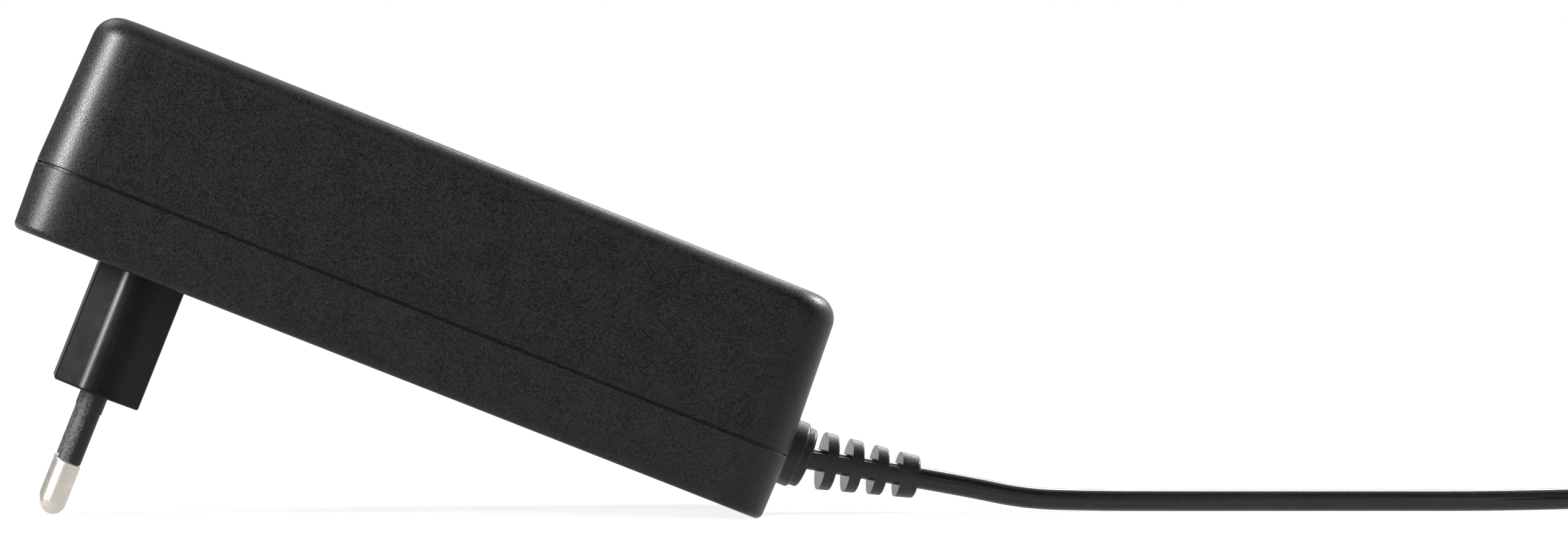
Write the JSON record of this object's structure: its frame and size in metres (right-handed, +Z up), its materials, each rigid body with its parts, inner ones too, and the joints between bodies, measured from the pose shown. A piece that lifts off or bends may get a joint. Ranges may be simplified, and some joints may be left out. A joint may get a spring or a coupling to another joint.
{
  "type": "power adapter",
  "caption": "Black wall plug power adapter: long two-shell case with a flat two-pin plug, a slotted strain relief and a coiled low-voltage lead ending in a barrel connector.",
  "frame": {"origin": "on the table, under the middle of the adapter's box, without the free lead and what is on it", "axes": "+X along the table from the plug end to the lead end, +Y across the case, +Z up from the table; the adapter lies as it comes to rest, on its pin tips and the lower edge at the lead end, so the case slopes about 21 degrees down towards +X"},
  "size_m": [0.334, 0.0705, 0.0742],
  "materials": {
    "case_plastic": "black, fine spark-eroded grain",
    "block_plastic": "black, smooth satin",
    "sleeve_plastic": "black insulating sleeve",
    "pin_metal": "nickel plated",
    "relief_rubber": "black, fine grain",
    "cord_jacket": "black, glossy",
    "tie_plastic": "black",
    "grip_plastic": "black, satin",
    "connector_metal": "nickel plated",
    "insulator_plastic": "black",
    "board_laminate": "green lacquer",
    "wire_red": "insulation",
    "wire_brown": "insulation",
    "wire_blue": "insulation",
    "wire_black": "insulation",
    "fuse_ceramic": "glazed body with plated caps",
    "thermistor_ceramic": "dark green lacquer",
    "film_box": "yellow box",
    "disc_ceramic": "blue lacquer",
    "ferrite": "dark grey sintered",
    "copper_wire": "enamelled copper",
    "tape_yellow": "winding under yellow tape",
    "bobbin_plastic": "black",
    "epoxy_black": "moulded epoxy",
    "can_sleeve": "dark shrink sleeve",
    "plate_aluminium": "bare",
    "screw_steel": "zinc plated"
  },
  "bodies": {
    "root": {"upper_case": "case_plastic", "lower_case": "case_plastic", "plug_block": "block_plastic", "live_pin": "pin_metal", "neutral_pin": "pin_metal", "live_pin_sleeve": "sleeve_plastic", "neutral_pin_sleeve": "sleeve_plastic", "live_wire": "wire_brown", "neutral_wire": "wire_blue", "circuit_board": "board_laminate", "fuse": "fuse_ceramic", "inrush_thermistor": "thermistor_ceramic", "x_capacitor": "film_box", "line_choke_core": "ferrite", "line_choke_windings": "copper_wire", "bridge_rectifier": "epoxy_black", "bulk_capacitor": "can_sleeve", "transformer_core": "ferrite", "transformer_bobbin": "bobbin_plastic", "transformer_winding": "tape_yellow", "primary_heatsink": "plate_aluminium", "secondary_heatsink": "plate_aluminium", "switching_transistor": "epoxy_black", "output_diode": "epoxy_black", "heatsink_screws": "screw_steel", "output_capacitor": "can_sleeve", "filter_capacitor": "can_sleeve", "output_choke": "ferrite", "y_capacitor": "disc_ceramic", "control_chip": "epoxy_black", "optocoupler": "epoxy_black", "strain_relief": "relief_rubber", "lead_in": "cord_jacket", "positive_wire": "wire_red", "negative_wire": "wire_black", "output_cord": "cord_jacket", "cord_coil": "cord_jacket", "cord_tail": "cord_jacket", "cord_tie": "tie_plastic", "connector_grip": "grip_plastic", "connector_barrel": "connector_metal", "connector_insulator": "insulator_plastic", "connector_contact": "connector_metal"}
  },
  "joints": []
}
